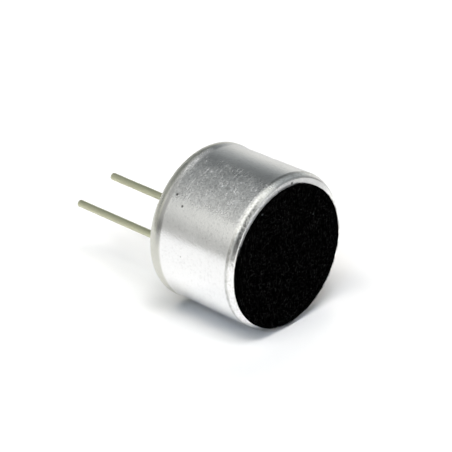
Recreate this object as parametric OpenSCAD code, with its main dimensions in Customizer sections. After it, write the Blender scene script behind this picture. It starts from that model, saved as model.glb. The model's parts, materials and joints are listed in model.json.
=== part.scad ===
// Electret microphone capsule with two solder pins, lying on its side.
// Every piece is drawn upright, from the board seat at z = 0 up to the front face,
// and is then laid down so that the front faces -Y and the pins point along +Y.

/* [Case] */
// Outside diameter of the case
case_d = 9.7; // [9.5:0.1:10.5]
// Length of the case from the board seat to the front face
case_len = 6.7; // [6:0.1:8]
// Thickness of the aluminium sheet
wall = 0.3; // [0.2:0.05:0.35]
// Outside radius of the drawn front corner
front_corner = 0.55; // [0.4:0.05:0.7]
// Outside radius of the crimped rear corner
rear_corner = 0.5; // [0.3:0.05:0.55]
// Width of the crimped lip that holds the board, from the outside of the case
lip_w = 1.1; // [0.8:0.05:1.3]

/* [Sound inlet] */
// Diameter of one sound hole in the front
inlet_d = 0.8; // [0.5:0.1:1.2]
// Number of sound holes
inlet_count = 6; // [3:1:8]
// Diameter of the circle that the sound holes lie on
inlet_circle_d = 4.2; // [3.4:0.1:5]
// Diameter of the felt disc
felt_d = 8.9; // [8:0.1:9]
// Thickness of the felt above the front face
felt_t = 0.3; // [0.2:0.05:0.6]
// How far the glued felt sits off the axis
felt_shift = 0.2; // [0:0.05:0.3]
// Direction in which the felt is off the axis, in degrees
felt_turn = 260; // [0:5:355]

/* [Diaphragm and plate] */
// Thickness of the ring that the diaphragm is stretched on
tension_ring_t = 0.5; // [0.3:0.05:0.8]
// Radial width of that ring
tension_ring_w = 0.65; // [0.5:0.05:0.8]
// Thickness of the diaphragm film
diaphragm_t = 0.05; // [0.03:0.01:0.1]
// Thickness of the spacer between the diaphragm and the plate
spacer_t = 0.1; // [0.05:0.01:0.2]
// Thickness of the charged film on the plate
electret_t = 0.05; // [0.03:0.01:0.1]
// Thickness of the back plate
plate_t = 0.4; // [0.2:0.05:0.6]
// Diameter of one vent hole in the back plate
vent_d = 0.6; // [0.4:0.1:1]
// Number of vent holes
vent_count = 6; // [3:1:8]
// Diameter of the circle that the vent holes lie on
vent_circle_d = 4.6; // [3.6:0.1:5.4]

/* [Holder] */
// Radial thickness of the holder's wall below the plate
holder_wall = 0.7; // [0.65:0.05:0.9]
// Radial thickness of the holder's rim around the plate
holder_rim = 0.5; // [0.3:0.05:0.55]
// Radial thickness of the contact ring from the plate to the board
gate_ring_t = 0.2; // [0.15:0.05:0.3]

/* [Board] */
// Thickness of the circuit board
board_t = 0.8; // [0.6:0.1:1.2]
// Thickness of the copper on both of its faces
copper_t = 0.05; // [0.03:0.01:0.1]
// Width of the copper tracks
track_w = 0.4; // [0.3:0.05:0.5]
// Diameter of the copper pad around a pin
pad_d = 1.2; // [1.1:0.05:1.3]
// How far the ground copper shows inside the crimped lip
ground_show = 0.4; // [0.2:0.05:0.6]

/* [Pins] */
// Diameter of a pin
pin_d = 0.45; // [0.4:0.05:0.6]
// Diameter of the collar that sits in the board
collar_d = 0.8; // [0.7:0.05:0.9]
// How far a collar stands out of the board inside the case
collar_stub = 0.2; // [0.1:0.05:0.4]
// Distance between the two pins
pin_pitch = 2.54; // [2.4:0.01:2.6]
// Distance of the ground pin from the axis
ground_pin_r = 2.4; // [2.2:0.05:2.5]
// Direction of the ground pin from the axis, in degrees
pin_turn = 210; // [0:5:355]
// Length of the output pin past the board seat
output_pin_len = 7.7; // [3:0.1:12]
// Length of the ground pin past the board seat
ground_pin_len = 8.4; // [3:0.1:12]
// Chamfer on a pin's tip
tip_chamfer = 0.1; // [0.05:0.05:0.15]
// Radius of the hollow solder fillet around a pin
solder_r = 0.2; // [0.15:0.05:0.25]
// Height of the solder at the fillet's outer edge
solder_edge = 0.05; // [0.03:0.01:0.1]

/* [Circuit] */
// Length of the transistor's body
jfet_l = 2.9; // [2.6:0.1:3]
// Width of the transistor's body
jfet_w = 1.3; // [1.2:0.05:1.4]
// Height of the transistor's body
jfet_h = 0.85; // [0.7:0.05:1.1]
// How far the transistor's sides lean in, from the leads to the top and to the bottom
jfet_draft = 0.1; // [0.05:0.01:0.15]
// Gap under the transistor's body
jfet_standoff = 0.1; // [0.05:0.05:0.2]
// Gap between the transistor's body and the output pad
jfet_gap = 0.15; // [0.1:0.05:0.2]
// Width of a transistor lead
lead_w = 0.4; // [0.3:0.05:0.5]
// Thickness of a transistor lead
lead_t = 0.12; // [0.08:0.01:0.15]
// Height at which a lead leaves the body
lead_rise = 0.45; // [0.35:0.05:0.55]
// How far a lead's riser stands off the body
lead_offset = 0.1; // [0.05:0.05:0.15]
// How far a lead reaches out from the body
lead_reach = 0.5; // [0.4:0.05:0.6]
// Distance between the two leads on one side
lead_pitch = 1.9; // [1.85:0.05:2]
// Length of a chip capacitor
cap_l = 0.6; // [0.5:0.05:0.7]
// Width of a chip capacitor
cap_w = 0.3; // [0.25:0.05:0.35]
// Height of a chip capacitor
cap_h = 0.3; // [0.25:0.05:0.4]
// Length of a capacitor's end cap
cap_end = 0.15; // [0.1:0.05:0.2]
// Gap between the two capacitors
cap_gap = 0.25; // [0.15:0.05:0.35]

/* [Fits] */
// Clearance around the pieces that slip into the case
fit = 0.05; // [0.02:0.01:0.1]
// Clearance around a pin's collar in the board
pin_fit = 0.05; // [0.02:0.01:0.08]

/* [Hidden] */
$fn = 96;
// Overrun of a cutting shape past the face that it cuts
cut = 0.1;

case_r = case_d / 2;
inner_r = case_r - wall;
lip_r = case_r - lip_w;
front_inside = case_len - wall;

pad_r = pad_d / 2;
pin_r = pin_d / 2;
pin_hole_r = collar_d / 2 + pin_fit;
ground_x = ground_pin_r;
output_x = ground_pin_r - pin_pitch;
pin_places = [output_x, ground_x];

jfet_right = output_x - pad_r - jfet_gap;
jfet_left = jfet_right - jfet_w;
lead_y = lead_pitch / 2;
cap_group_w = 2 * cap_w + cap_gap;
cap_group_x = (output_x + ground_x - cap_group_w) / 2;
cap_places = [cap_group_x, cap_group_x + cap_w + cap_gap];

tension_ring_r = case_r - front_corner - fit;
tension_ring_in = tension_ring_r - tension_ring_w;
holder_r = inner_r - fit;
holder_bore = holder_r - holder_wall;
plate_bore = holder_r - holder_rim;
plate_r = plate_bore - fit;
gate_ring_r = holder_bore - fit;
gate_ring_in = gate_ring_r - gate_ring_t;
board_r = inner_r - fit;

tension_ring_z = front_inside - tension_ring_t;
diaphragm_z = tension_ring_z - diaphragm_t;
spacer_z = diaphragm_z - spacer_t;
electret_z = spacer_z - electret_t;
plate_z = electret_z - plate_t;
rear_copper_z = wall;
board_z = rear_copper_z + copper_t;
front_copper_z = board_z + board_t;
track_top = front_copper_z + copper_t;

// Lays a piece that was drawn upright on its side, with its front towards -Y
module laid() {
    rotate([90, 0, 0]) children();
}

// Turns the board's own layout, in which the ground pin lies along +X, to its place in the case
module on_board() {
    laid() rotate([0, 0, pin_turn]) children();
}

// Half of a round form's section: radius along X, length along Y
module round_section(r, len, front, rear) {
    translate([0, rear]) square([r, len - rear - front]);
    square([r - rear, rear + cut]);
    translate([0, len - front - cut]) square([r - front, front + cut]);
    translate([r - front, len - front]) circle(front);
    if (rear > 0) translate([r - rear, rear]) circle(rear);
}

module flat_ring(z, h, r_out, r_in) {
    translate([0, 0, z]) linear_extrude(h) difference() {
        circle(r_out);
        circle(r_in);
    }
}

// Round holes in a circle, through everything between z and z + h
module hole_circle(count, circle_d, d, z, h) {
    for (i = [0 : count - 1])
        rotate([0, 0, i * 360 / count])
            translate([circle_d / 2, 0, z - cut]) cylinder(d = d, h = h + 2 * cut);
}

// Drawn can: closed front with sound holes, rear edge rolled in over the board
module case() {
    color([0.78, 0.79, 0.8]) laid() difference() {
        rotate_extrude() difference() {
            round_section(case_r, case_len, front_corner, rear_corner);
            translate([0, wall]) round_section(inner_r, case_len - 2 * wall, front_corner - wall, 0);
            translate([0, -cut]) square([lip_r, wall + 2 * cut]);
        }
        hole_circle(inlet_count, inlet_circle_d, inlet_d, front_inside, wall);
    }
}

// Felt disc glued over the sound holes; its edge follows the rounded front corner
module dust_felt() {
    color([0.05, 0.05, 0.05]) laid() difference() {
        rotate([0, 0, felt_turn]) translate([felt_shift, 0, case_len - front_corner])
            cylinder(d = felt_d, h = front_corner + felt_t);
        rotate_extrude() round_section(case_r, case_len, front_corner, rear_corner);
    }
}

module tension_ring() {
    color([0.8, 0.66, 0.35]) laid()
        flat_ring(tension_ring_z, tension_ring_t, tension_ring_r, tension_ring_in);
}

module diaphragm() {
    color([0.85, 0.85, 0.88]) laid()
        translate([0, 0, diaphragm_z]) cylinder(r = tension_ring_r, h = diaphragm_t);
}

module spacer() {
    color([0.9, 0.75, 0.4]) laid() flat_ring(spacer_z, spacer_t, tension_ring_r, tension_ring_in);
}

// Charged film on the plate, cut through at the vent holes
module electret_film() {
    color([0.9, 0.9, 0.85]) laid() difference() {
        translate([0, 0, electret_z]) cylinder(r = plate_r, h = electret_t);
        hole_circle(vent_count, vent_circle_d, vent_d, electret_z, electret_t);
    }
}

module back_plate() {
    color([0.82, 0.68, 0.36]) laid() difference() {
        translate([0, 0, plate_z]) cylinder(r = plate_r, h = plate_t);
        hole_circle(vent_count, vent_circle_d, vent_d, plate_z, plate_t);
    }
}

// Insulating sleeve that stands on the board, with a ledge that carries the plate
module plate_holder() {
    color([0.92, 0.92, 0.88]) laid() {
        flat_ring(front_copper_z, plate_z - front_copper_z, holder_r, holder_bore);
        flat_ring(plate_z, spacer_z - plate_z, holder_r, plate_bore);
    }
}

// Contact ring that joins the plate to the transistor's gate
module gate_ring() {
    color([0.8, 0.66, 0.35]) laid()
        flat_ring(track_top, plate_z - track_top, gate_ring_r, gate_ring_in);
}

module circuit_board() {
    color([0.16, 0.38, 0.2]) on_board() translate([0, 0, board_z]) linear_extrude(board_t) difference() {
        circle(board_r);
        for (x = pin_places) translate([x, 0]) circle(pin_hole_r);
    }
}

// Ring of copper under the contact ring, with a tongue to the gate lead
module gate_track() {
    color([0.85, 0.6, 0.3]) on_board() translate([0, 0, front_copper_z]) linear_extrude(copper_t) {
        difference() {
            circle(gate_ring_r);
            circle(gate_ring_in);
        }
        tongue_start = gate_ring_in + gate_ring_t / 2;
        translate([-tongue_start, -track_w / 2]) square([tongue_start + jfet_left, track_w]);
    }
}

// Copper from a transistor lead along the capacitors to the pad of one pin
module pin_track(pin_x) {
    bus_end = max(cap_group_x + cap_group_w, pin_x + track_w / 2);
    cap_pad_y = cap_l / 2 - cap_end;
    translate([0, 0, front_copper_z]) linear_extrude(copper_t) difference() {
        union() {
            translate([jfet_right, lead_y - track_w / 2]) square([bus_end - jfet_right, track_w]);
            translate([cap_group_x, cap_pad_y]) square([cap_group_w, lead_y - cap_pad_y]);
            translate([pin_x - track_w / 2, 0]) square([track_w, lead_y]);
            translate([pin_x, 0]) circle(pad_r);
        }
        translate([pin_x, 0]) circle(pin_hole_r);
    }
}

module drain_track() {
    color([0.85, 0.6, 0.3]) on_board() pin_track(output_x);
}

module source_track() {
    color([0.85, 0.6, 0.3]) on_board() mirror([0, 1, 0]) pin_track(ground_x);
}

// Moulded body, widest at the leads, with sides that lean in above and below them
module jfet_body() {
    jfet_top = jfet_standoff + jfet_h;
    color([0.12, 0.12, 0.13]) on_board() translate([jfet_left, 0, track_top])
        rotate([90, 0, 0]) linear_extrude(jfet_l, center = true) polygon([
            [jfet_draft, jfet_standoff],
            [jfet_w - jfet_draft, jfet_standoff],
            [jfet_w, lead_rise],
            [jfet_w, lead_rise + lead_t],
            [jfet_w - jfet_draft, jfet_top],
            [jfet_draft, jfet_top],
            [0, lead_rise + lead_t],
            [0, lead_rise]
        ]);
}

// One bent lead, from the body's face at x = 0 down to its foot on the track
module gull_lead() {
    rotate([90, 0, 0]) linear_extrude(lead_w, center = true) polygon([
        [0, lead_rise],
        [0, lead_rise + lead_t],
        [lead_offset + lead_t, lead_rise + lead_t],
        [lead_offset + lead_t, lead_t],
        [lead_reach, lead_t],
        [lead_reach, 0],
        [lead_offset, 0],
        [lead_offset, lead_rise]
    ]);
}

// Drain and source leads towards the pins, gate lead on the other side
module jfet_leads() {
    color([0.75, 0.75, 0.73]) on_board() translate([0, 0, track_top]) {
        for (y = [-lead_y, lead_y]) translate([jfet_right, y, 0]) gull_lead();
        translate([jfet_left, 0, 0]) mirror([1, 0, 0]) gull_lead();
    }
}

module capacitors() {
    color([0.66, 0.52, 0.38]) on_board()
        for (x = cap_places)
            translate([x, cap_end - cap_l / 2, track_top]) cube([cap_w, cap_l - 2 * cap_end, cap_h]);
}

module capacitor_ends() {
    color([0.78, 0.78, 0.76]) on_board()
        for (x = cap_places, y = [-cap_l / 2, cap_l / 2 - cap_end])
            translate([x, y, track_top]) cube([cap_w, cap_end, cap_h]);
}

module output_pad() {
    color([0.85, 0.6, 0.3]) on_board()
        translate([output_x, 0, 0]) flat_ring(rear_copper_z, copper_t, pad_r, pin_hole_r);
}

// Ring of copper that the crimped lip presses on, joined to the ground pin's pad
module ground_pad() {
    ring_in = lip_r - ground_show;
    color([0.85, 0.6, 0.3]) on_board() translate([0, 0, rear_copper_z])
        linear_extrude(copper_t) difference() {
            union() {
                difference() {
                    circle(board_r);
                    circle(ring_in);
                }
                translate([ground_x, -track_w / 2]) square([lip_r - ground_x, track_w]);
                translate([ground_x, 0]) circle(pad_r);
            }
            translate([ground_x, 0]) circle(pin_hole_r);
        }
}

// Pin with a collar in the board and a chamfered tip
module pin(x, len) {
    translate([x, 0, -len]) {
        cylinder(r1 = pin_r - tip_chamfer, r2 = pin_r, h = tip_chamfer);
        translate([0, 0, tip_chamfer]) cylinder(r = pin_r, h = len - tip_chamfer + rear_copper_z);
    }
    translate([x, 0, rear_copper_z]) cylinder(d = collar_d, h = track_top + collar_stub - rear_copper_z);
}

module output_pin() {
    color([0.72, 0.72, 0.64]) on_board() pin(output_x, output_pin_len);
}

module ground_pin() {
    color([0.72, 0.72, 0.64]) on_board() pin(ground_x, ground_pin_len);
}

// Hollow fillets of solder that join the pins to their pads
module solder_joints() {
    span = solder_r + solder_edge;
    color([0.76, 0.77, 0.75]) on_board()
        for (x = pin_places)
            translate([x, 0, rear_copper_z]) mirror([0, 0, 1]) rotate_extrude()
                translate([pin_r, 0]) difference() {
                    square(span);
                    translate([span, span]) circle(solder_r);
                }
}

case();
dust_felt();
tension_ring();
diaphragm();
spacer();
electret_film();
back_plate();
plate_holder();
gate_ring();
circuit_board();
gate_track();
drain_track();
source_track();
jfet_body();
jfet_leads();
capacitors();
capacitor_ends();
output_pad();
ground_pad();
output_pin();
ground_pin();
solder_joints();
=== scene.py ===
"""Electret microphone capsule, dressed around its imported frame.

A drawn aluminium can with a felt front and two tinned pins. Lengths are millimetres of the frame until a
mesh is made, and angles are degrees unless a comment says otherwise. The front faces -Y and the pins point
along +Y. The turns of marks about the can's axis are counted from the top towards -X.
"""

import functools
import json
import math
import random
from contextlib import contextmanager

import bmesh
import bpy
import numpy as np
from mathutils import Matrix, Vector, noise


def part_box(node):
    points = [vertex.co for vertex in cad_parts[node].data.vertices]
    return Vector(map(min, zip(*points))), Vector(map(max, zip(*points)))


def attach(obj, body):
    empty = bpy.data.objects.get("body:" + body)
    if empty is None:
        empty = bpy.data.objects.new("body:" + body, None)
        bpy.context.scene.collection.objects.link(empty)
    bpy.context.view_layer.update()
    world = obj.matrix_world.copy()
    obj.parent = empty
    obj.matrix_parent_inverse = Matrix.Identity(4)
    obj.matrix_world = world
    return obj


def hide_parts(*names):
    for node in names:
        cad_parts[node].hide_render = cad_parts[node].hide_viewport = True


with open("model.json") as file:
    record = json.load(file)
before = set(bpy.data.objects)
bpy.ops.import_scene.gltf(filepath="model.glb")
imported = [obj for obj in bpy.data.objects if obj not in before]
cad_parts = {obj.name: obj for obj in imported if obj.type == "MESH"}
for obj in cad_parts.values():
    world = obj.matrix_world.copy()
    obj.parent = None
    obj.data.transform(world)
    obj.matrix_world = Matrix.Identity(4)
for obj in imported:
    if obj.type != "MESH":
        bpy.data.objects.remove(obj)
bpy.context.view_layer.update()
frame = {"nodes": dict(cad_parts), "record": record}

MM = 0.001
TAU = 2 * math.pi
# Distance under which two places count as one
SAME_PLACE = 1e-5


def box_mm(node):
    """Lowest and highest corner of a CAD node, in millimetres."""
    low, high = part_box(node)
    return np.array(low) / MM, np.array(high) / MM


def grey(level, tint=(1.0, 1.0, 1.0)):
    """A grey of a level, or a tinted one."""
    return (level * tint[0], level * tint[1], level * tint[2], 1.0)


# Sizes of the can, from the frame where a node's box gives them
CASE_LOW, CASE_HIGH = box_mm("case")
CASE_R = CASE_HIGH[0]
SEAT_Y = CASE_HIGH[1]
FRONT_Y = CASE_LOW[1]
MIDDLE_Y = (FRONT_Y + SEAT_Y) / 2
WALL = SEAT_Y - box_mm("ground_pad")[1][1]
INNER_R = CASE_R - WALL
FLOOR_Z = -CASE_R
# The rim starts at a crease in the wall, leans in as a long soft bevel and turns tightly to the front.
# With these two rounds the bevel and the turn meet at the second lean.
RIM_Y = FRONT_Y + 0.42
RIM_LEANS = (16.0, 38.0)
BEVEL_ROUND = 1.0766
RIM_ROUND = 0.1401
LAND_R = CASE_R - 0.297
# The crimp swells out of the wall, which lies a little inside it, and turns over the board in two arcs
WALL_R = CASE_R - 0.055
SWELL_FRONT = SEAT_Y - 1.06
SWELL_REAR = SEAT_Y - 0.58
CRIMP_LEAN = 25.0
CRIMP_ROUNDS = (0.72, 0.4775)
# Corners of the plain can, and the lip that is rolled in over the board, with its edge
REAR_CORNER = 0.55
FRONT_CORNER = 0.55
LIP_R = 3.75
LIP_EDGE = 0.05
# Sound holes in the front plate, inside its plain middle
INLET_COUNT = 6
INLET_D = 0.8
INLET_CIRCLE_R = 2.1
PLATE_EDGE_R = 3.2
# Depth and width of the crease beside the rim
CREASE_DEPTH = 0.012
CREASE_WIDTH = 0.05
# Height of the slow waves that drawing leaves in the wall, and how many there are per millimetre
WAVE_HEIGHT = 0.002
WAVE_SCALE = 0.45

# Sizes of the felt: its place and radius from the frame, its pile and the round of its cut edge
FELT_LOW, FELT_HIGH = box_mm("dust_felt")
FELT_MIDDLE = (FELT_LOW[[0, 2]] + FELT_HIGH[[0, 2]]) / 2
FELT_R = (FELT_HIGH[0] - FELT_LOW[0]) / 2
FELT_FRONT_Y = FELT_LOW[1]
FELT_PILE = 0.04
FELT_EDGE = 0.1
# The nap stays this far behind the front of the solid
FELT_CLEAR = 0.005
# Lumps of the nap and waves of its frayed edge: height, waves per millimetre and shift of the noise
FELT_LUMPS = [(0.018, 1.6, 0.0), (0.016, 6.0, 5.0)]
FRAY_WAVES = (0.014, 5.0, 9.0)
# Width of the frayed edge, how far it is drawn in and the most that it stands out
FRAY_WIDTH = 0.3
FRAY_IN = 0.006
FRAY_OUT = 0.004
# Loose fibres: count, radius, lengths, bends in radians, and the share of the felt that they start on
FIBRE_COUNT = 2600
FIBRE_R = 0.008
FIBRE_LENGTHS = (0.25, 1.1)
FIBRE_BENDS = (-1.2, 1.2)
FIBRE_SPREAD = 0.97
# How far fibres lie over the nap and stay inside the felt's edge, and how much they thin out at their ends
FIBRE_LIFT = 0.004
FIBRE_INSET = 0.02
FIBRE_TAPER = 0.5

# Sizes of the pins: radius, round of the tip and radius of the flat on it
PIN_R = 0.225
TIP_ROUND = 0.1
TIP_FLAT_R = 0.4 * PIN_R
# Unevenness of the drawn wire as a share of its radius, its noise, and where the wire leaves the solder
DRAWN_SHARE = 0.006
DRAWN_SCALE = 3.0
DRAWN_STRETCH = (1.0, 0.12, 1.0)
PIN_FREE_Y = SEAT_Y + 0.6

# Fineness of the meshes: points round each piece and rows along it
CASE_SEGMENTS = 384
SWELL_ROWS = 22
WALL_ROWS = 58
CREASE_ROWS = 10
HOLE_SEGMENTS = 32
FELT_SEGMENTS = 256
FELT_RINGS = 70
FIBRE_SIDES = 3
FIBRE_JOINTS = 6
PIN_SEGMENTS = 48
PIN_ROWS = 60
# Where the wall's coarse rows start and end, and how far from the crease its fine ones start
WALL_SPAN = (SWELL_FRONT - 0.08, RIM_Y + 0.26)
CREASE_SPAN = 0.18
# Radius of the small ring at the middle of a turned end
FELT_CORE_R = 0.03
PIN_CORE_R = 0.02
# Size of the inner ring of the felt's back, as a share of its foot
FELT_BACK_SHARE = 0.6
# Turns over which an edge is drawn sharp
CASE_SHARP = 35.0
PIN_SHARP = 50.0
# Seeds of the dents and of the fibres
DENT_SEED = 7
FIBRE_SEED = 31

# Small marks on the can: pits in its wall and a nick in the front rim, as x, y, z and radius
PITS = [(-3.56, -1.26, 3.3, 0.15), (-3.9, -1.99, 2.89, 0.13), (-4.85, -2.71, 0.17, 0.08)]
NICK = (0.4, -6.7, 4.4, 0.12)
# Specks of lint on the felt, as x, y, z and radius
LINT = [(-2.42, -6.98, 3.5, 0.11), (2.05, -6.98, 1.87, 0.1)]
# The stretch of the rim with chips and a band of painted shade, as x, y, z and reach, and the stretch that
# is dented most
CHIPS_AND_SHADE = (-3.68, -6.5, 3.08, 2.6)
KNOCK_MIDDLE = (-3.93, -6.5, 2.75)
KNOCK_REACH = 2.0
# Leans of the rear corner, in radians, between which it is dented
REAR_LEANS = (0.1, 1.4)
# Marks round the can: the turn of the middle, and the angles from it where the mark starts to fade and ends
SCUFFED = (30.0, (6.0, 26.0))  # wall scuffed by handling
GLINTING = (33.0, (4.0, 17.0))  # bright specks among the scuffs
SHADE_PATCH = (-27.0, (12.0, 30.0))  # painted shade: a darker patch on the wall's top right towards the rear
SHADED = (0.0, (45.0, 75.0))  # painted shade: the crimp darkened over its top half
DULLED = (85.0, (25.0, 70.0))  # dullest stretch of the crimp
SPILT = (102.0, (20.0, 52.0))  # where the crimp's dull tone reaches on over the swell
SWELL_SHADE = (58.0, (12.0, 34.0))  # painted shade: a dark line along the crimp's swell on one side
PALE = (12.0, (6.0, 15.0))  # pale rubbed line on the swell
TARNISHED = (-18.0, (15.0, 45.0))  # tarnished edge of the front
CHALKY = (28.0, (20.0, 46.0))  # matt and pale edge of the front beside the felt
CREASE_CLEAR = (36.0, (14.0, 28.0))  # stretch where the crease's dark line fades out
# Stretches along the can: where each starts and where it is full
CRIMP_REACH = (SWELL_FRONT + 0.26, SWELL_REAR + 0.02)
REAR_REACH = (SEAT_Y - 0.1, SEAT_Y - 0.02)
RIM_REACH = (RIM_Y, RIM_Y - 0.08)
LAND_REACH = (FRONT_Y + 0.16, FRONT_Y + 0.03)
FLAT_REACH = (FRONT_Y + 0.03, FRONT_Y + 0.002)
SHADE_PATCH_REACH = (SEAT_Y - 3.2, SEAT_Y - 0.8)
GLINT_REACH = (-1.5, -4.5)
# How far the crimp's dull tone spills on over the swell
SPILL = 0.3
# Lines round the can: place along it and half the width
SWELL_SHADE_LINE = (SWELL_REAR - 0.26, 0.24)
PALE_LINE = (SWELL_FRONT + 0.24, 0.34)
CREASE_LINE = (RIM_Y - 0.02, 0.14)
CHIP_AND_SHADE_LINE = (FRONT_Y + 0.13, 0.15)
# Share of the size of a speck, a line and a spot over which it is full
SPECK_CORE = 0.4
LINE_CORE = 0.2
SPOT_CORE = 0.35
# Strengths of the marks, a pair where the strength depends on another mark or on a noise
SPOT_SHARES = (0.1, 0.75)  # dark spots, on the clean and the scuffed wall
DIRT_SHARES = (0.2, 0.4)  # specks of dirt, on the clean and the scuffed wall
SHADE_PATCH_SHARES = (0.0, 0.5)
STAIN_SHARE = 0.5
SWELL_SHADE_SHARE = 0.85
CREASE_DIRT_AND_SHADE_SHARES = (0.42, 0.78)
CREASE_CLEAR_SHARES = (1.0, 0.05)  # what is left of the crease's dirt and painted shade
CHIP_AND_SHADE_SHARES = (0.55, 1.0)
GLINT_PATCHES = (0.25, 1.0)
GLINT_SHARES = (0.2, 1.0)  # bright specks, from the rear to the front of their reach
GLINT_SHARE = 0.5
STREAK_SHARES = (0.0, 0.3)
CHALK_SHARE = 0.6
PALE_SHARE = 0.18
# Roughness of the can's metal, and what scuffs and worn specks add to it
CAN_ROUGHNESS = (0.19, 0.24)
SCUFF_ROUGHNESS = 0.1
WORN_ROUGHNESS = 0.2
# Depth of the can's relief, the share of grain on the clean and the scuffed wall, and of rings on the rear
RELIEF_DEPTH = 0.026
GRAIN_SHARES = (0.22, 0.9)
RING_SHARES = (0.0, 0.5)

# Tones of the can, a pair where a noise goes from one to the other
WALL_TONES = (grey(0.85), grey(0.91))
SCUFF_TONE = grey(0.6)
# Tone of the patch of painted shade on the wall
SHADE_PATCH_TONE = grey(0.6)
CRIMP_TONE = (0.78, 0.78, 0.72, 1.0)
# Painted shade on the crimp's top half
SHADED_TONE = (0.67, 0.67, 0.62, 1.0)
DULLED_TONE = (0.64, 0.64, 0.59, 1.0)
STAIN_TONE = (0.42, 0.42, 0.36, 1.0)
REAR_TONES = (grey(0.62), grey(0.78))
# Painted shade line on the crimp's swell
SWELL_SHADE_TONE = grey(0.34)
RIM_TONES = (grey(0.96), grey(0.8, (1.0, 1.0, 0.97)))
TARNISH_TONES = (grey(0.5), grey(0.66))
# Tones of the crease line and the chip line, both partly painted shade
CREASE_DIRT_AND_SHADE_TONE = grey(0.42, (1.0, 1.0, 0.96))
CHIP_AND_SHADE_TONE = grey(0.2)
PIT_TONE = grey(0.1, (1.0, 0.96, 0.92))
DIRT_TONE = grey(0.5)
# Tones of the felt, its fibres and lint, and of the pins, the solder and the board
FELT_TONES = (grey(0.0002), grey(0.016, (1.0, 0.99, 0.96)))
FIBRE_TONES = (grey(0.0004), grey(0.024))
LINT_TONE = grey(0.06, (0.9, 1.0, 1.05))
TIN_TONES = ((0.55, 0.56, 0.4, 1.0), (0.66, 0.66, 0.52, 1.0))
SOLDER_TONES = (grey(0.6), grey(0.78, (1.0, 1.0, 0.98)))
MASK_TONES = ((0.022, 0.11, 0.04, 1.0), (0.04, 0.17, 0.065, 1.0))
SPECKLE_TONE = (0.03, 0.13, 0.06, 1.0)
WHITE = grey(1.0)


# Helpers for materials

class Nodes:
    """A node tree, with short ways to add to it."""

    def __init__(self, tree):
        self.tree = tree

    def add(self, kind, inputs=None, **settings):
        """A new node, with its inputs set or linked."""
        node = self.tree.nodes.new("ShaderNode" + kind)
        for name, value in settings.items():
            setattr(node, name, value)
        for key, value in (inputs or {}).items():
            self.put(node.inputs[key], value)
        return node

    def put(self, socket, value):
        """Links an output to a socket, or sets the socket to a value."""
        if isinstance(value, bpy.types.NodeSocket):
            self.tree.links.new(value, socket)
        else:
            socket.default_value = value

    def map(self, value, low, high, to_low=0.0, to_high=1.0):
        """A value taken smoothly from one range to another."""
        inputs = {"Value": value, "From Min": low, "From Max": high, "To Min": to_low, "To Max": to_high}
        return self.add("MapRange", inputs, interpolation_type="SMOOTHSTEP").outputs[0]

    def share(self, value, to_low, to_high):
        """A value from 0 to 1 taken smoothly to another range."""
        return self.map(value, 0.0, 1.0, to_low, to_high)

    def math(self, operation, a, b=0.0):
        """One step of arithmetic."""
        return self.add("Math", {0: a, 1: b}, operation=operation).outputs[0]

    def chain(self, operation, values):
        """Several values joined one after another by the same arithmetic."""
        return functools.reduce(functools.partial(self.math, operation), values)

    def times(self, *values):
        """The product of values."""
        return self.chain("MULTIPLY", values)

    def plus(self, *values):
        """The sum of values."""
        return self.chain("ADD", values)

    def minus(self, *values):
        """The first value less the others."""
        return self.chain("SUBTRACT", values)

    def most(self, *values):
        """The largest of values."""
        return self.chain("MAXIMUM", values)

    def mix(self, factor, a, b):
        """A colour between a and b."""
        node = self.add("Mix", data_type="RGBA")
        self.put(node.inputs["Factor"], factor)
        self.put(node.inputs[6], a)
        self.put(node.inputs[7], b)
        return node.outputs[2]

    def towards(self, way, direction, spread):
        """1 where a direction lies close to a given way, falling to 0 over a spread of angles."""
        way = Vector(way).normalized()
        close = self.add("VectorMath", {0: direction, 1: way}, operation="DOT_PRODUCT").outputs["Value"]
        full, none = (math.cos(math.radians(angle)) for angle in spread)
        return self.map(close, none, full)


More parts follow.
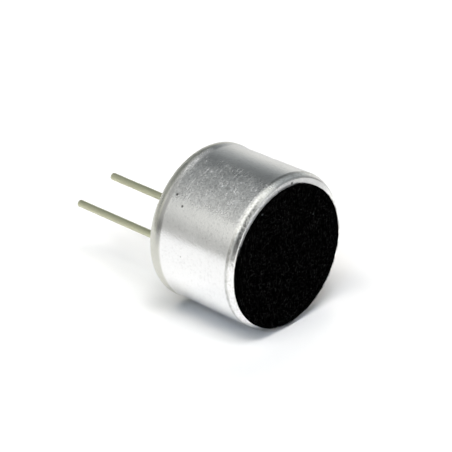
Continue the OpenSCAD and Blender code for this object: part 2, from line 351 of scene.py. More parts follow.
class Look(Nodes):
    """A node material with one Principled shader, and textures in millimetres of the frame."""

    def __init__(self, name):
        self.material = bpy.data.materials.new(name)
        self.material.use_nodes = True
        super().__init__(self.material.node_tree)
        self.shader = self.tree.nodes["Principled BSDF"]
        place = self.add("TexCoord").outputs["Object"]
        self.place = self.add("VectorMath", {0: place, "Scale": 1 / MM}, operation="SCALE").outputs[0]

    def set(self, **sockets):
        """Sets the shader's sockets, with _ for a space in their names."""
        for name, value in sockets.items():
            self.put(self.shader.inputs[name.replace("_", " ")], value)

    def glow(self, **inputs):
        """Makes the surface shine by itself, in place of the shader."""
        light = self.add("Emission", inputs)
        self.put(self.tree.nodes["Material Output"].inputs["Surface"], light.outputs[0])

    def stretched(self, scale):
        """The place, scaled along each axis."""
        return self.add("Mapping", {"Vector": self.place, "Scale": scale}).outputs[0]

    def noise(self, scale, detail=2.0, at=None, roughness=0.5):
        """Smooth noise from 0 to 1; scale is in waves per millimetre."""
        inputs = {"Vector": at or self.place, "Scale": scale, "Detail": detail, "Roughness": roughness}
        return self.add("TexNoise", inputs).outputs["Fac"]

    def specks(self, scale, share, size):
        """1 in small round spots, in a share of the cells of a random grid."""
        cell = self.add("TexVoronoi", {"Vector": self.place, "Scale": scale})
        chosen = self.add("SeparateColor", {0: cell.outputs["Color"]}).outputs["Red"]
        spot = self.map(cell.outputs["Distance"], SPECK_CORE * size, size, 1.0, 0.0)
        return self.times(spot, self.math("LESS_THAN", chosen, share))

    def parts(self, vector=None):
        """The x, y and z of a vector, or of the place."""
        return self.add("SeparateXYZ", {0: vector or self.place}).outputs

    def along(self):
        """Place along the can, in millimetres."""
        return self.parts()["Y"]

    def across(self):
        """The place without its part along the can."""
        x, _, z = self.parts()
        return self.add("CombineXYZ", {"X": x, "Z": z}).outputs[0]

    def past(self, reach):
        """0 before a stretch along the can starts, and 1 where it is full."""
        return self.map(self.along(), *reach)

    def line(self, y, half_width):
        """1 on a line round the can at y, falling to 0 at half its width."""
        gap = self.math("ABSOLUTE", self.minus(self.along(), y))
        return self.map(gap, LINE_CORE * half_width, half_width, 1.0, 0.0)

    def facing(self, turn, spread):
        """1 where the can's side faces a turn about the axis, falling to 0 over a spread of angles."""
        side = self.add("VectorMath", {0: self.across()}, operation="NORMALIZE").outputs[0]
        way = (-math.sin(math.radians(turn)), 0.0, math.cos(math.radians(turn)))
        return self.towards(way, side, spread)

    def rings(self, scale):
        """Uneven lines round the axis; scale is in lines per millimetre."""
        reach = self.add("VectorMath", {0: self.across()}, operation="LENGTH").outputs["Value"]
        return self.add("TexNoise", {"W": reach, "Scale": scale}, noise_dimensions="1D").outputs["Fac"]

    def rolled_out(self, along, round_it):
        """The can's wall rolled out flat, scaled along the can and round it."""
        x, y, z = self.parts()
        turn = self.times(self.math("ARCTAN2", x, z), CASE_R * round_it)
        return self.add("CombineXYZ", {"X": turn, "Y": self.times(y, along)}).outputs[0]

    def near(self, x, y, z, radius):
        """1 at a point of the object, falling to 0 at radius from it."""
        gap = self.add("VectorMath", {0: self.place, 1: (x, y, z)}, operation="DISTANCE").outputs["Value"]
        return self.map(gap, SPOT_CORE * radius, radius, 1.0, 0.0)

    def bump(self, height, depth):
        """The surface's direction under a relief of a depth in millimetres."""
        return self.add("Bump", {"Height": height, "Distance": depth * MM}).outputs[0]


# Materials

def wall_tone(look, cloud, mottled, scuffed):
    """Tone of the straight wall: cloudy, spotted where it is scuffed, with a patch of painted shade on one
    side.
    """
    tone = look.mix(cloud, *WALL_TONES)
    tone = look.mix(look.times(mottled, look.share(scuffed, *SPOT_SHARES)), tone, SCUFF_TONE)
    # Painted shade: the wall's top right is darkened towards the rear
    shade_patch = look.times(look.facing(*SHADE_PATCH), look.map(look.along(), *SHADE_PATCH_REACH, *SHADE_PATCH_SHARES))
    return look.mix(shade_patch, tone, SHADE_PATCH_TONE)


def crimp_tone(look, tone, patchy, on_rear):
    """Lays the crimp's dull metal with painted shade on its top half, its cleaner rear ring and a painted
    shade line on its swell over a tone.
    """
    # Dull crimp metal, with painted shade darkening its top half
    dull_and_shaded = look.mix(look.facing(*SHADED), CRIMP_TONE, SHADED_TONE)
    dull_and_shaded = look.mix(look.facing(*DULLED), dull_and_shaded, DULLED_TONE)
    dull_and_shaded = look.mix(look.times(patchy, STAIN_SHARE), dull_and_shaded, STAIN_TONE)
    spilt = look.times(look.facing(*SPILT), SPILL)
    tone = look.mix(look.map(look.plus(look.along(), spilt), *CRIMP_REACH), tone, dull_and_shaded)
    tone = look.mix(on_rear, tone, look.mix(patchy, *REAR_TONES))
    # Painted shade: a dark line along the swell on one side
    swell_shade = look.times(look.line(*SWELL_SHADE_LINE), look.facing(*SWELL_SHADE), SWELL_SHADE_SHARE)
    return look.mix(swell_shade, tone, SWELL_SHADE_TONE)


def rim_tone(look, tone, patchy, mottled):
    """Lays the rim's paler metal, its tarnish, its crease darkened by dirt and painted shade, and its chips
    with a band of painted shade over a tone.
    """
    tone = look.mix(look.past(RIM_REACH), tone, look.mix(mottled, *RIM_TONES))
    tarnished = look.times(look.past(LAND_REACH), look.facing(*TARNISHED))
    tone = look.mix(tarnished, tone, look.mix(patchy, *TARNISH_TONES))
    # The crease is darkened partly by dirt and partly by painted shade
    crease_dirt_and_shade = look.map(patchy, 0.36, 0.6, *CREASE_DIRT_AND_SHADE_SHARES)
    crease_kept = look.share(look.facing(*CREASE_CLEAR), *CREASE_CLEAR_SHARES)
    tone = look.mix(look.times(look.line(*CREASE_LINE), crease_dirt_and_shade, crease_kept), tone, CREASE_DIRT_AND_SHADE_TONE)
    # Chips on the rim, which also paint a darker band of its reflection: painted shade
    chip_and_shade_noise = look.noise(scale=6.0, detail=4.0, at=look.stretched((1.4, 1.4, 0.6)))
    chips_and_shade = look.map(chip_and_shade_noise, 0.34, 0.56, *CHIP_AND_SHADE_SHARES)
    return look.mix(look.times(look.line(*CHIP_AND_SHADE_LINE), chips_and_shade, look.near(*CHIPS_AND_SHADE)), tone, CHIP_AND_SHADE_TONE)


def pitted_tone(look, tone, scuffed):
    """Lays the dark pits, the nick and specks of dirt over a tone."""
    pitted = look.most(*(look.near(*mark) for mark in (NICK, *PITS)))
    tone = look.mix(pitted, tone, PIT_TONE)
    dirt = look.times(look.specks(scale=6.0, share=0.35, size=0.55), look.share(scuffed, *DIRT_SHARES))
    return look.mix(dirt, tone, DIRT_TONE)


def bare_metal(look, scuffed):
    """How metallic the can is: less in the specks and streaks of the scuffs and where it is chalky."""
    glints = look.times(
        look.specks(scale=9.0, share=0.4, size=0.6),
        look.facing(*GLINTING),
        look.map(look.noise(scale=1.3, detail=2.0), 0.42, 0.58, *GLINT_PATCHES),
        look.map(look.along(), *GLINT_REACH, *GLINT_SHARES),
        GLINT_SHARE,
    )
    drawn = look.noise(scale=4.0, detail=2.0, at=look.rolled_out(along=1.8, round_it=0.35))
    streaks = look.map(drawn, 0.57, 0.68, *STREAK_SHARES)
    chalky = look.times(look.past(FLAT_REACH), look.facing(*CHALKY), CHALK_SHARE)
    pale = look.times(look.line(*PALE_LINE), look.facing(*PALE), PALE_SHARE)
    return look.minus(1.0, look.most(glints, look.times(streaks, scuffed)), chalky, pale)


def aluminium_look():
    """Drawn aluminium: satin and cloudy, scuffed along the top, dull at the crimp, dirty at the rim, with
    painted shade on the wall, the crimp and the rim.
    """
    look = Look("drawn_aluminium")
    cloud = look.noise(scale=0.9, detail=4.0)
    patchy = look.noise(scale=3.5, detail=4.0)
    mottled = look.map(look.noise(scale=8.0, detail=3.0), 0.4, 0.64)
    scuffed = look.map(look.plus(look.facing(*SCUFFED), look.minus(cloud, 0.5)), 0.0, 1.0)
    on_rear = look.past(REAR_REACH)

    tone = wall_tone(look, cloud, mottled, scuffed)
    tone = crimp_tone(look, tone, patchy, on_rear)
    tone = rim_tone(look, tone, patchy, mottled)
    tone = pitted_tone(look, tone, scuffed)
    worn = look.times(look.specks(scale=8.0, share=0.35, size=0.6), scuffed)
    rough = look.map(cloud, 0.3, 0.7, *CAN_ROUGHNESS)
    rough = look.plus(rough, look.times(scuffed, SCUFF_ROUGHNESS), look.times(worn, WORN_ROUGHNESS))
    grain = look.noise(scale=11.0, detail=3.0, roughness=0.6)
    grain = look.times(grain, look.share(scuffed, *GRAIN_SHARES))
    turned_lines = look.times(look.rings(scale=9.0), look.share(on_rear, *RING_SHARES))
    look.set(Base_Color=tone, Metallic=bare_metal(look, scuffed), Roughness=rough)
    look.set(Normal=look.bump(look.plus(grain, turned_lines), RELIEF_DEPTH))
    return look.material


def felt_look():
    """Black needle felt: matt, with paler fibre bundles lying in all directions."""
    look = Look("black_needle_felt")
    strands = look.noise(scale=8.0, detail=5.0, at=look.stretched((1.0, 1.0, 0.35)), roughness=0.65)
    crossed = look.noise(scale=7.0, detail=5.0, at=look.stretched((0.35, 1.0, 1.0)), roughness=0.65)
    fibres = look.most(look.map(strands, 0.53, 0.71), look.map(crossed, 0.56, 0.79, 0.0, 0.7))
    tone = look.mix(fibres, *FELT_TONES)
    for speck in LINT:
        tone = look.mix(look.near(*speck), tone, LINT_TONE)
    look.set(Base_Color=tone, Roughness=1.0, Specular_IOR_Level=0.0, Normal=look.bump(fibres, depth=0.03))
    return look.material


def fibre_look():
    """Single fibres that lie on the felt, black with a little gloss."""
    look = Look("black_fibre")
    tone = look.mix(look.map(look.noise(scale=7.0, detail=2.0), 0.48, 0.66), *FIBRE_TONES)
    look.set(Base_Color=tone, Roughness=0.85, Specular_IOR_Level=0.01)
    return look.material


def tinned_look():
    """Tinned wire: warm grey, satin, with a thin uneven coat drawn along the wire."""
    look = Look("tinned_wire_look")
    drawn = look.noise(scale=5.0, detail=3.0, at=look.stretched((1.0, 0.08, 1.0)))
    patches = look.noise(scale=1.6, detail=3.0)
    tone = look.mix(patches, *TIN_TONES)
    rough = look.map(patches, 0.3, 0.7, 0.55, 0.68)
    look.set(Base_Color=tone, Metallic=1.0, Roughness=rough, Normal=look.bump(drawn, depth=0.004))
    return look.material


def solder_look():
    """Solder: bright grey, slightly frosted as it froze."""
    look = Look("solder_look")
    frost = look.noise(scale=9.0, detail=4.0)
    tone = look.mix(frost, *SOLDER_TONES)
    rough = look.map(frost, 0.35, 0.65, 0.2, 0.42)
    look.set(Base_Color=tone, Metallic=1.0, Roughness=rough, Normal=look.bump(frost, depth=0.004))
    return look.material


def laminate_look():
    """Glass-fibre board under a green mask: the weave shows faintly through."""
    look = Look("board_laminate_look")
    threads = {"Vector": look.place, "Scale": 1.1, "Distortion": 0.4}
    warp, weft = (look.add("TexWave", threads, bands_direction=way).outputs["Fac"] for way in "XZ")
    weave = look.times(warp, weft)
    tone = look.mix(weave, *MASK_TONES)
    tone = look.mix(look.map(look.noise(scale=14.0, detail=2.0), 0.45, 0.7, 0.0, 0.5), tone, SPECKLE_TONE)
    look.set(Base_Color=tone, Roughness=0.35, Coat_Weight=0.35, Coat_Roughness=0.2)
    look.set(Normal=look.bump(weave, depth=0.006))
    return look.material


def metal_look(name, low, high, rough_low, rough_high, scale=3.0):
    """Plain metal with a cloudy tone and gloss."""
    look = Look(name)
    cloud = look.noise(scale=scale, detail=4.0)
    rough = look.map(cloud, 0.3, 0.7, rough_low, rough_high)
    look.set(Base_Color=look.mix(cloud, (*low, 1.0), (*high, 1.0)), Metallic=1.0, Roughness=rough)
    look.set(Normal=look.bump(look.noise(scale=12.0, detail=3.0), depth=0.0015))
    return look.material


def plain_look(name, low, high, rough):
    """Plastic, film or ceramic with a slightly uneven tone and surface."""
    look = Look(name)
    cloud = look.noise(scale=2.5, detail=4.0)
    look.set(Base_Color=look.mix(cloud, (*low, 1.0), (*high, 1.0)))
    look.set(Roughness=look.map(cloud, 0.3, 0.7, rough, rough + 0.12))
    look.set(Normal=look.bump(look.noise(scale=10.0, detail=3.0), depth=0.002))
    return look.material


LOOKS = {
    "case_aluminium": aluminium_look(),
    "black_felt": felt_look(),
    "tinned_wire": tinned_look(),
    "solder": solder_look(),
    "board_laminate": laminate_look(),
    "copper": metal_look("plated_copper", (0.5, 0.26, 0.11), (0.72, 0.44, 0.22), 0.2, 0.4, 2.2),
    "brass": metal_look("brass_look", (0.62, 0.47, 0.2), (0.76, 0.6, 0.3), 0.22, 0.38),
    "metallised_film": metal_look("metallised_film_look", (0.7, 0.7, 0.73), (0.8, 0.8, 0.83), 0.1, 0.2),
    "amber_film": plain_look("amber_film_look", (0.5, 0.25, 0.05), (0.62, 0.33, 0.08), 0.25),
    "clear_film": plain_look("clear_film_look", (0.6, 0.6, 0.55), (0.72, 0.72, 0.66), 0.2),
    "holder_plastic": plain_look("holder_plastic_look", (0.62, 0.62, 0.56), (0.72, 0.72, 0.66), 0.45),
    "black_epoxy": plain_look("black_epoxy_look", (0.012, 0.012, 0.013), (0.028, 0.028, 0.03), 0.5),
    "capacitor_ceramic": plain_look("ceramic_look", (0.2, 0.12, 0.06), (0.3, 0.19, 0.1), 0.45),
}


def dress_nodes():
    """Gives each CAD node the look of its slot in the record."""
    for row in frame["record"]["subparts"]:
        node = frame["nodes"][row["node"]]
        for slot in node.material_slots:
            slot.material = LOOKS[row["material_slot"]]


# Helpers for meshes

def new_object(name, points, faces, material, smooth=False):
    """An object in the scene, from points in millimetres."""
    mesh = bpy.data.meshes.new(name)
    mesh.from_pydata((np.asarray(points, float) * MM).tolist(), [], faces)
    mesh.polygons.foreach_set("use_smooth", [smooth] * len(mesh.polygons))
    mesh.materials.append(material)
    mesh.validate()
    thing = bpy.data.objects.new(name, mesh)
    bpy.context.scene.collection.objects.link(thing)
    return thing


def mesh_piece(name, points, faces, slot, look=None):
    """A piece of the object, riding on the one body, in the look of its slot unless it has its own."""
    piece = new_object(name, points, faces, look or LOOKS[slot], smooth=True)
    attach(piece, "root")
    return piece


@contextmanager
def editing(mesh):
    """A mesh opened for edits, and written back at the end."""
    work = bmesh.new()
    work.from_mesh(mesh)
    yield work
    work.to_mesh(mesh)
    work.free()


def turn_outward(work):
    """Makes the faces of a closed mesh point outwards."""
    bmesh.ops.recalc_face_normals(work, faces=work.faces)


def mark_sharp(work, degrees):
    """Marks edges that turn by more than an angle as sharp."""
    for edge in work.edges:
        if len(edge.link_faces) == 2 and edge.calc_face_angle() > math.radians(degrees):
            edge.smooth = False


def arc(centre, radius, start, end, count):
    """Points of a round stretch of a profile, between two angles."""
    angles = np.radians(np.linspace(start, end, count))
    return [(centre[0] + radius * math.cos(a), centre[1] + radius * math.sin(a)) for a in angles]


def straight(start, end, count):
    """Points between two points of a profile, both left out."""
    shares = np.linspace(0, 1, count + 2)[1:-1]
    return [tuple(np.array(start) * (1 - s) + np.array(end) * s) for s in shares]


def turned(profile, segments, centre=(0.0, 0.0)):
    """Points of a profile of (radius, y) turned about a line along Y through centre (x, z)."""
    angles = np.arange(segments) * TAU / segments
    rings = [
        np.stack([centre[0] + r * np.sin(angles), np.full(segments, y), centre[1] + r * np.cos(angles)], 1)
        for r, y in profile
    ]
    return np.concatenate(rings)


def ring_faces(rings, segments, first=0):
    """Quads between rings of points that follow one another, each ring closed."""
    faces = []
    for ring in range(rings - 1):
        for i in range(segments):
            j = (i + 1) % segments
            a = first + ring * segments
            faces.append((a + i, a + j, a + segments + j, a + segments + i))
    return faces


def capped_faces(rings, segments, first=0):
    """Quads between rings, and a face over the first and the last of them."""
    last = first + (rings - 1) * segments
    start = tuple(reversed(range(first, first + segments)))
    end = tuple(range(last, last + segments))
    return ring_faces(rings, segments, first) + [start, end]


def rough_height(points, scale, octaves=3, shift=0.0):
    """Smooth random height from about -1 to 1 at each point; scale is in waves per millimetre."""
    offset = Vector((shift, 2.3 * shift, -1.7 * shift))
    fall, step = 1.0, 2.0
    return np.array([noise.fractal(Vector(p) * scale + offset, fall, step, octaves) for p in points])


# The can

def crimp_profile():
    """The crimp, from the flat rear ring over two arcs and down the swell to the wall."""
    first, second = CRIMP_ROUNDS
    lean = math.radians(CRIMP_LEAN)
    flat_r = CASE_R - first * (1 - math.cos(lean)) - second * math.cos(lean)
    crimp = arc((flat_r, SEAT_Y - second), second, 90, CRIMP_LEAN, count=16)
    crimp += arc((CASE_R - first, SWELL_REAR), first, CRIMP_LEAN, 0, count=12)[1:]
    for share in np.linspace(0.0, 1.0, SWELL_ROWS)[1:]:
        fall = (1 - math.cos(math.pi * share)) / 2
        crimp.append((CASE_R + (WALL_R - CASE_R) * fall, SWELL_REAR + (SWELL_FRONT - SWELL_REAR) * share))
    return flat_r, crimp


def wall_rows():
    """Radius and place along the straight wall, close together beside the rim."""
    coarse = np.linspace(*WALL_SPAN, WALL_ROWS)
    fine = RIM_Y + np.linspace(CREASE_SPAN, 0.0, CREASE_ROWS)
    rows = np.concatenate([coarse, fine])
    return [(np.interp(y, (RIM_Y, SWELL_FRONT), (CASE_R, WALL_R)), y) for y in rows]


def case_profile():
    """Outside of the can, from the lip's inner edge round the wall to the front plate."""
    rear_flat, crimp = crimp_profile()
    lean = math.radians(RIM_LEANS[0])
    bevel_centre = (CASE_R - BEVEL_ROUND * math.cos(lean), RIM_Y + BEVEL_ROUND * math.sin(lean))
    profile = [(LIP_R, SEAT_Y - WALL), (LIP_R, SEAT_Y - WALL / 2)]
    profile += arc((LIP_R + LIP_EDGE, SEAT_Y - LIP_EDGE), LIP_EDGE, 180, 90, count=5)
    profile += straight((LIP_R + LIP_EDGE, SEAT_Y), (rear_flat, SEAT_Y), count=6)
    profile += crimp
    profile += wall_rows()
    profile += arc(bevel_centre, BEVEL_ROUND, -RIM_LEANS[0], -RIM_LEANS[1], count=15)[1:]
    profile += arc((LAND_R, FRONT_Y + RIM_ROUND), RIM_ROUND, -RIM_LEANS[1], -90, count=11)[1:]
    profile += straight((LAND_R, FRONT_Y), (PLATE_EDGE_R, FRONT_Y), count=8)
    profile.append((PLATE_EDGE_R, FRONT_Y))
    return profile


def case_inside():
    """Inside of the can, from the front plate back to the lip."""
    corner = FRONT_CORNER - WALL
    back = FRONT_Y + WALL
    inside = [(PLATE_EDGE_R, back), ((PLATE_EDGE_R + INNER_R - corner) / 2, back)]
    inside += arc((INNER_R - corner, back + corner), corner, -90, 0, count=7)
    inside += straight((INNER_R, back + corner), (INNER_R, SEAT_Y - WALL), count=4)
    inside += [(INNER_R, SEAT_Y - WALL), ((LIP_R + INNER_R) / 2, SEAT_Y - WALL)]
    return inside


def outward(profile, segments):
    """Unit directions out of a turned profile, one for each of its points."""
    along = np.gradient(np.array(profile), axis=0)
    normal = np.stack([-along[:, 1], along[:, 0]], 1)
    normal /= np.linalg.norm(normal, axis=1, keepdims=True)
    return turned(normal, segments)


def on_front_rim(seeded):
    """A place on the bevelled front rim."""
    turn = seeded.uniform(0, TAU)
    back = seeded.uniform(0.0, 1.0)
    r = LAND_R + (CASE_R - LAND_R) * math.sqrt(back)
    return np.array([r * math.sin(turn), FRONT_Y + (RIM_Y - FRONT_Y) * back, r * math.cos(turn)])


def on_knocked_rim(seeded):
    """A place on the stretch of the rim that was knocked most."""
    spot = on_front_rim(seeded)
    while np.linalg.norm(spot - KNOCK_MIDDLE) > KNOCK_REACH:
        spot = on_front_rim(seeded)
    return spot


def on_rear_rim(seeded):
    """A place on the crimped rear corner."""
    turn = seeded.uniform(0, TAU)
    lean = seeded.uniform(*REAR_LEANS)
    r = CASE_R - REAR_CORNER + REAR_CORNER * math.cos(lean)
    y = SEAT_Y - REAR_CORNER + REAR_CORNER * math.sin(lean)
    return np.array([r * math.sin(turn), y, r * math.cos(turn)])


def on_wall(seeded):
    """A place on the straight wall."""
    turn = seeded.uniform(0, TAU)
    y = seeded.uniform(FRONT_Y + FRONT_CORNER, SEAT_Y - REAR_CORNER)
    return np.array([CASE_R * math.sin(turn), y, CASE_R * math.cos(turn)])


# Dents in the can: how many, where, and the ranges of their widths and depths
DENTS = [
    (90, on_front_rim, (0.06, 0.2), (0.001, 0.004)),
    (45, on_knocked_rim, (0.05, 0.12), (0.003, 0.011)),
    (40, on_rear_rim, (0.12, 0.4), (0.001, 0.006)),
    (60, on_wall, (0.2, 0.6), (0.0005, 0.003)),
]
# Rings of the lip's inner edge, which has no dents
LIP_RINGS = 2


def case_wear(points):
    """How far dents, slow waves and the crease sink each point of the can's outside."""
    seeded = random.Random(DENT_SEED)
    sunk = np.zeros(len(points))
    for count, place, widths, depths in DENTS:
        for _ in range(count):
            gap = np.linalg.norm(points - place(seeded), axis=1)
            width = seeded.uniform(*widths)
            sunk += seeded.uniform(*depths) * np.exp(-((gap / width) ** 2))
    sunk += WAVE_HEIGHT * (1 + rough_height(points, WAVE_SCALE, 2))
    sunk += CREASE_DEPTH * np.exp(-(((points[:, 1] - RIM_Y) / CREASE_WIDTH) ** 2))
    sunk[points[:, 1] < FRONT_Y + SAME_PLACE] = 0.0
    sunk[: LIP_RINGS * CASE_SEGMENTS] = 0.0
    return sunk


def case_faces(outside, inside):
    """Faces between the can's outer and inner rings, joined at the lip and open at the front plate."""
    faces = ring_faces(outside, CASE_SEGMENTS)
    faces += ring_faces(inside, CASE_SEGMENTS, outside * CASE_SEGMENTS)
    last = (outside + inside - 1) * CASE_SEGMENTS
    for i in range(CASE_SEGMENTS):
        j = (i + 1) % CASE_SEGMENTS
        faces.append((last + i, last + j, j, i))
    return faces


def hole_ring(work, angle, level):
    """Points round the sound hole at an angle in radians from +X, on one side of the front plate."""
    ring = []
    for k in range(HOLE_SEGMENTS):
        a = k * TAU / HOLE_SEGMENTS
        x = INLET_CIRCLE_R * math.cos(angle) + INLET_D / 2 * math.cos(a)
        z = INLET_CIRCLE_R * math.sin(angle) + INLET_D / 2 * math.sin(a)
        ring.append(work.verts.new(Vector((x, level, z)) * MM))
    return ring


def close_front_plate(work):
    """Fills both sides of the front plate between its edge and the sound holes, and joins the holes."""
    levels = (FRONT_Y, FRONT_Y + WALL)
    open_edges = [edge for edge in work.edges if edge.is_boundary]
    rims = {
        level: [edge for edge in open_edges if abs(edge.verts[0].co.y / MM - level) < SAME_PLACE]
        for level in levels
    }
    for hole in range(INLET_COUNT):
        outer, inner = (hole_ring(work, hole * TAU / INLET_COUNT, level) for level in levels)
        for level, ring in zip(levels, (outer, inner)):
            rims[level] += [work.edges.new((ring[k - 1], ring[k])) for k in range(HOLE_SEGMENTS)]
        for k in range(HOLE_SEGMENTS):
            work.faces.new((outer[k - 1], outer[k], inner[k], inner[k - 1]))
    for level in levels:
        bmesh.ops.triangle_fill(work, use_beauty=True, edges=rims[level], normal=(0, -1, 0))


def make_case():
    """The can as one closed shell: worn outside, plain inside, sound holes through the front plate."""
    outside = case_profile()
    inside = case_inside()
    points = turned(outside, CASE_SEGMENTS)
    points = points - outward(outside, CASE_SEGMENTS) * case_wear(points)[:, None]
    points = np.concatenate([points, turned(inside, CASE_SEGMENTS)])
    faces = case_faces(len(outside), len(inside))
    case = mesh_piece("worn_case", points, faces, "case_aluminium")
    with editing(case.data) as work:
        close_front_plate(work)
        turn_outward(work)
        mark_sharp(work, CASE_SHARP)
    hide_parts("case")


# The felt

def case_front(x, z):
    """Where the can's front surface lies at x, z: the flat land, then the rounded rim."""
    over = np.clip(np.hypot(x, z) - LAND_R, 0.0, RIM_ROUND)
    return FRONT_Y + RIM_ROUND - np.sqrt(RIM_ROUND**2 - over**2)


def felt_nap():
    """The felt's front and cut edge: a nap of low lumps and a soft, slightly frayed edge."""
    top = FELT_FRONT_Y + FELT_PILE
    flat_r = FELT_R - FELT_EDGE
    profile = [(r, top) for r in np.linspace(FELT_CORE_R, flat_r, FELT_RINGS)]
    profile += arc((flat_r, top + FELT_EDGE), FELT_EDGE, -90, 0, count=7)[1:]
    points = turned(profile, FELT_SEGMENTS, FELT_MIDDLE)
    lumps = sum(height * rough_height(points, scale, shift=shift) for height, scale, shift in FELT_LUMPS)
    points[:, 1] = np.maximum(points[:, 1] - lumps, FELT_FRONT_Y + FELT_CLEAR)
    height, scale, shift = FRAY_WAVES
    frayed = height * rough_height(points, scale, shift=shift)
    away = points[:, [0, 2]] - FELT_MIDDLE
    reach = np.linalg.norm(away, axis=1, keepdims=True)
    at_edge = np.clip((reach - (FELT_R - FRAY_WIDTH)) / FRAY_WIDTH, 0, 1)
    points[:, [0, 2]] += away / reach * at_edge * np.minimum(frayed[:, None] - FRAY_IN, FRAY_OUT)
    return points


def make_felt():
    """The felt disc, with a back that follows the can."""
    nap = felt_nap()
    foot = nap[-FELT_SEGMENTS:].copy()
    foot[:, 1] = case_front(foot[:, 0], foot[:, 2])
    back = foot.copy()
    back[:, [0, 2]] = FELT_MIDDLE + (foot[:, [0, 2]] - FELT_MIDDLE) * FELT_BACK_SHARE
    back[:, 1] = FRONT_Y
    points = np.concatenate([nap, foot, back])
    faces = capped_faces(len(points) // FELT_SEGMENTS, FELT_SEGMENTS)
    felt = mesh_piece("felt_disc", points, faces, "black_felt")
    with editing(felt.data) as work:
        turn_outward(work)
    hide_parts("dust_felt")


def fibre_points(seeded):
    """Points of one loose fibre on the felt, a thin strand that bends as it goes."""
    reach = FELT_R * math.sqrt(seeded.uniform(0, FIBRE_SPREAD))
    turn = seeded.uniform(0, TAU)
    spot = FELT_MIDDLE + np.array([reach * math.cos(turn), reach * math.sin(turn)])
    heading = seeded.uniform(0, TAU)
    bend = seeded.uniform(*FIBRE_BENDS)
    length = seeded.uniform(*FIBRE_LENGTHS)
    rise = seeded.uniform(0.0, FELT_PILE - 2 * FIBRE_R)
    points = []
    for joint in range(FIBRE_JOINTS):
        share = joint / (FIBRE_JOINTS - 1)
        lift = rise * math.sin(math.pi * share) + FIBRE_LIFT
        side = np.array([-math.sin(heading), math.cos(heading)])
        radius = FIBRE_R * (1.0 - FIBRE_TAPER * abs(2 * share - 1) ** 3)
        away = spot - FELT_MIDDLE
        held = FELT_MIDDLE + away * min(1.0, (FELT_R - FIBRE_INSET) / np.linalg.norm(away))
        for k in range(FIBRE_SIDES):
            a = k * TAU / FIBRE_SIDES
            x, z = held + side * radius * math.cos(a)
            points.append((x, FELT_FRONT_Y + FELT_PILE - lift - radius * math.sin(a), z))
        spot = spot + np.array([math.cos(heading), math.sin(heading)]) * length / FIBRE_JOINTS
        heading += bend / FIBRE_JOINTS
    return points


def make_fibres():
    """Loose fibres that lie on the felt, thin three-sided strands."""
    seeded = random.Random(FIBRE_SEED)
    points = []
    faces = []
    for _ in range(FIBRE_COUNT):
        faces += capped_faces(FIBRE_JOINTS, FIBRE_SIDES, len(points))
        points += fibre_points(seeded)
    mesh_piece("felt_fibres", points, faces, "black_felt", fibre_look())


# The pins

def make_pin(name, node):
    """A pin as drawn wire: its collar in the board, the shank, and a sheared tip with a soft edge."""
    low, high = box_mm(node)
    centre = ((low[0] + high[0]) / 2, (low[2] + high[2]) / 2)
    collar_r = (high[0] - low[0]) / 2
    copper_y = SEAT_Y - WALL
    tip_y = high[1] - TIP_ROUND
    profile = [(PIN_CORE_R, low[1]), (collar_r, low[1]), (collar_r, copper_y), (PIN_R, copper_y)]
    profile += straight((PIN_R, copper_y), (PIN_R, tip_y), PIN_ROWS)
    profile += arc((PIN_R - TIP_ROUND, tip_y), TIP_ROUND, 0, 80, count=7)
    profile += [(TIP_FLAT_R, high[1]), (PIN_CORE_R, high[1])]
    points = turned(profile, PIN_SEGMENTS, centre)
    drawn = DRAWN_SHARE * rough_height(points * DRAWN_STRETCH, DRAWN_SCALE, 2)
    drawn[points[:, 1] <= PIN_FREE_Y] = 0.0
    points[:, [0, 2]] += drawn[:, None] * (points[:, [0, 2]] - centre)
    faces = capped_faces(len(profile), PIN_SEGMENTS)
    pin = mesh_piece(name, points, faces, "tinned_wire")
    with editing(pin.data) as work:
        turn_outward(work)
        mark_sharp(work, PIN_SHARP)
    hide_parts(node)


# Stage

# Half the side of the floor
FLOOR_HALF = 900.0
# The tent: its radius and fineness, and the angle in radians that it stops short of its top
TENT_R = 56.0
TENT_ROWS = 24
TENT_COLUMNS = 64
TENT_TOP = 0.02
# The ways to the tent's panels, dark corner and bright horizon, each with its spread and level
TOP_PANEL = ((-0.32, -0.22, 0.92), (18.0, 44.0), 1.25)
SIDE_PANEL = ((-0.74, 0.27, 0.616), (17.0, 27.0), 0.87)
DARK_CORNER = ((-0.51, -0.79, 0.34), (8.0, 38.0), 0.45)
HORIZON = ((0.5, 0.85, 0.0), (25.0, 95.0), 0.8)
# Level of the rest of the horizon, and of the ceiling in front and behind
HORIZON_LEVEL = 0.5
CEILING_LEVELS = (0.42, 0.17)
# Ends of the ceiling's slope along a direction's y, and of the rise to the ceiling and its tint along z
CEILING_SLOPE = (-0.5, 0.4)
CEILING_RISE = (0.15, 0.74)
TINT_RISE = (0.2, 0.7)
# Tints of the tent's low and high parts and of its panels
LOW_TINT = (1.0, 1.0, 0.965, 1.0)
HIGH_TINT = (0.94, 1.0, 1.015, 1.0)
PANEL_TINT = (1.0, 1.0, 0.955, 1.0)
# The grey card: its sides, its height over the floor, where it ends fading, and its levels before and after
CARD_X = (11.0, 62.0)
CARD_Y = (-6.0, 48.0)
CARD_LIFT = 0.02
CARD_FADE_X = 45.0
CARD_LEVELS = (0.82, 0.75)
# Level and tint of the light from all round
AMBIENT = 0.02
AMBIENT_TINT = (0.75, 0.88, 1.0, 1.0)
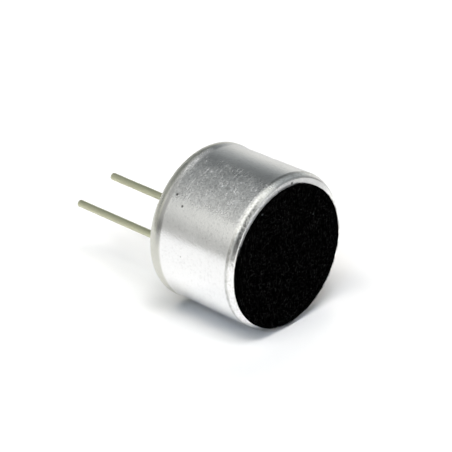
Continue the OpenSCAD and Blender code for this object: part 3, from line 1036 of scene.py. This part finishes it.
# The lamps: the way to each, its spread, level and colour
LAMPS = [
    ("top_left", (-0.55, 0.05, 1.0), 22.0, 0.3, (1.0, 0.985, 0.945)),
    ("top_middle", (-0.3, -0.25, 1.0), 22.0, 0.3, (1.0, 0.965, 0.925)),
    ("top_right", (-0.05, -0.25, 1.0), 22.0, 0.215, (0.93, 0.96, 1.0)),
    ("left_fill", (-1.1, -0.6, 1.0), 20.0, 0.095, (0.6, 0.77, 1.0)),
    ("front_fill", (-0.3, -1.0, 1.0), 20.0, 0.08, (1.0, 1.0, 1.0)),
    ("back_fill", (0.5, 0.4, 1.0), 20.0, 0.145, (1.0, 0.94, 0.84)),
]
# The camera's turn and drop in radians, its place from the middle of the front along its own axes,
# its lens, and the nearest and farthest that it sees, in metres
VIEW_TURN = math.radians(47.32)
VIEW_DROP = math.radians(27.6)
VIEW_RIGHT, VIEW_UP, VIEW_BACK = -3.541, 1.555, 169.1
LENS = 230.5
CLIP_NEAR, CLIP_FAR = 0.01, 3.0


def stage_object(name, points, faces, material):
    """A thing that isn't part of the object."""
    thing = new_object(name, points, faces, material)
    return thing


def stage_sheet(name, xs, ys, z, material):
    """A level rectangle on the stage."""
    corners = [(xs[0], ys[0], z), (xs[1], ys[0], z), (xs[1], ys[1], z), (xs[0], ys[1], z)]
    return stage_object(name, corners, [(0, 1, 2, 3)], material)


def only_reflected(thing):
    """Hides a thing from all rays but those of reflections."""
    thing.visible_camera = False
    thing.visible_diffuse = False
    thing.visible_shadow = False
    thing.visible_transmission = False


def make_floor():
    """A wide white floor that keeps the object's shadow."""
    look = Look("white_floor")
    look.set(Base_Color=WHITE, Roughness=0.9, Specular_IOR_Level=0.0)
    side = (-FLOOR_HALF, FLOOR_HALF)
    stage_sheet("floor", side, side, FLOOR_Z, look.material)


def tent_look():
    """The bright and dark sides of the studio, by the direction from the middle of the floor."""
    look = Look("studio_tent")
    direction = look.add("VectorMath", {0: look.place}, operation="NORMALIZE").outputs[0]
    _, y, z = look.parts(direction)
    ceiling = look.map(y, *CEILING_SLOPE, *CEILING_LEVELS)
    way, spread, bright = HORIZON
    horizon = look.share(look.towards(way, direction, spread), HORIZON_LEVEL, bright)
    level = look.map(z, *CEILING_RISE, horizon, ceiling)
    way, spread, left = DARK_CORNER
    shade = look.times(look.towards(way, direction, spread), 1.0 - left)
    level = look.times(level, look.minus(1.0, shade))
    tint = look.mix(look.map(z, *TINT_RISE), LOW_TINT, HIGH_TINT)
    for way, spread, bright in (SIDE_PANEL, TOP_PANEL):
        on_panel = look.towards(way, direction, spread)
        level = look.mix(on_panel, level, grey(bright))
        tint = look.mix(on_panel, tint, PANEL_TINT)
    # Dark to rays that come from a matt surface, so that the can throws none of this light on the floor
    unscattered = look.math("LESS_THAN", look.add("LightPath").outputs["Diffuse Depth"], 0.5)
    look.glow(Color=tint, Strength=look.times(level, unscattered))
    return look.material


def make_tent():
    """A half sphere on the floor that only reflections see."""
    heights = np.linspace(0, math.pi / 2 - TENT_TOP, TENT_ROWS)
    turns = [k * TAU / TENT_COLUMNS for k in range(TENT_COLUMNS)]
    points = [
        (TENT_R * math.cos(h) * math.sin(a), TENT_R * math.cos(h) * math.cos(a), TENT_R * math.sin(h))
        for h in heights
        for a in turns
    ]
    faces = ring_faces(TENT_ROWS, TENT_COLUMNS)
    faces.append(tuple(range((TENT_ROWS - 1) * TENT_COLUMNS, TENT_ROWS * TENT_COLUMNS)))
    tent = stage_object("studio_tent", points, faces, tent_look())
    tent.location = Vector((0.0, MIDDLE_Y, FLOOR_Z)) * MM
    only_reflected(tent)


def make_card():
    """A pale grey card behind the can that only reflections see, so that the can's far edge shows."""
    look = Look("grey_card")
    look.glow(Strength=look.map(look.parts()["X"], CARD_X[0], CARD_FADE_X, *CARD_LEVELS))
    card = stage_sheet("grey_card", CARD_X, CARD_Y, FLOOR_Z + CARD_LIFT, look.material)
    only_reflected(card)


def make_world():
    """White where it is seen, directly or in a gloss or a clear body, and a soft plain light elsewhere."""
    world = bpy.data.worlds.new("studio")
    bpy.context.scene.world = world
    world.use_nodes = True
    nodes = Nodes(world.node_tree)
    path = nodes.add("LightPath").outputs
    seen = nodes.most(*(path[kind] for kind in ("Is Camera Ray", "Is Glossy Ray", "Is Transmission Ray")))
    back = nodes.tree.nodes["Background"]
    nodes.put(back.inputs["Color"], nodes.mix(seen, AMBIENT_TINT, WHITE))
    nodes.put(back.inputs["Strength"], nodes.share(seen, AMBIENT, 1.0))


def make_lamp(name, way, spread, level, colour):
    """A soft lamp far off in a given way, spread over an angle; level is a white floor's brightness."""
    way = Vector(way).normalized()
    data = bpy.data.lights.new(name, "SUN")
    data.angle = math.radians(spread)
    data.energy = level * math.pi / way.z
    data.color = colour
    lamp = bpy.data.objects.new(name, data)
    bpy.context.scene.collection.objects.link(lamp)
    lamp.rotation_euler = (-way).to_track_quat("-Z", "Y").to_euler()
    lamp.visible_glossy = False


def make_camera():
    """The camera at the photograph's viewing angle."""
    right = Vector((math.cos(VIEW_TURN), -math.sin(VIEW_TURN), 0.0))
    ahead = Vector((math.sin(VIEW_TURN), math.cos(VIEW_TURN), 0.0)) * math.cos(VIEW_DROP)
    ahead.z = -math.sin(VIEW_DROP)
    up = right.cross(ahead)
    data = bpy.data.cameras.new("camera")
    data.lens = LENS
    data.clip_start = CLIP_NEAR
    data.clip_end = CLIP_FAR
    camera = bpy.data.objects.new("camera", data)
    bpy.context.scene.collection.objects.link(camera)
    turn = Matrix((right, up, -ahead)).transposed()
    place = Vector((0.0, FRONT_Y, 0.0)) + VIEW_RIGHT * right + VIEW_UP * up - VIEW_BACK * ahead
    camera.matrix_world = Matrix.Translation(place * MM) @ turn.to_4x4()
    bpy.context.scene.camera = camera


dress_nodes()
make_case()
make_felt()
make_fibres()
make_pin("output_wire", "output_pin")
make_pin("ground_wire", "ground_pin")
make_floor()
make_tent()
make_card()
make_world()
for lamp in LAMPS:
    make_lamp(*lamp)
make_camera()
bpy.context.scene.view_settings.view_transform = "Standard"
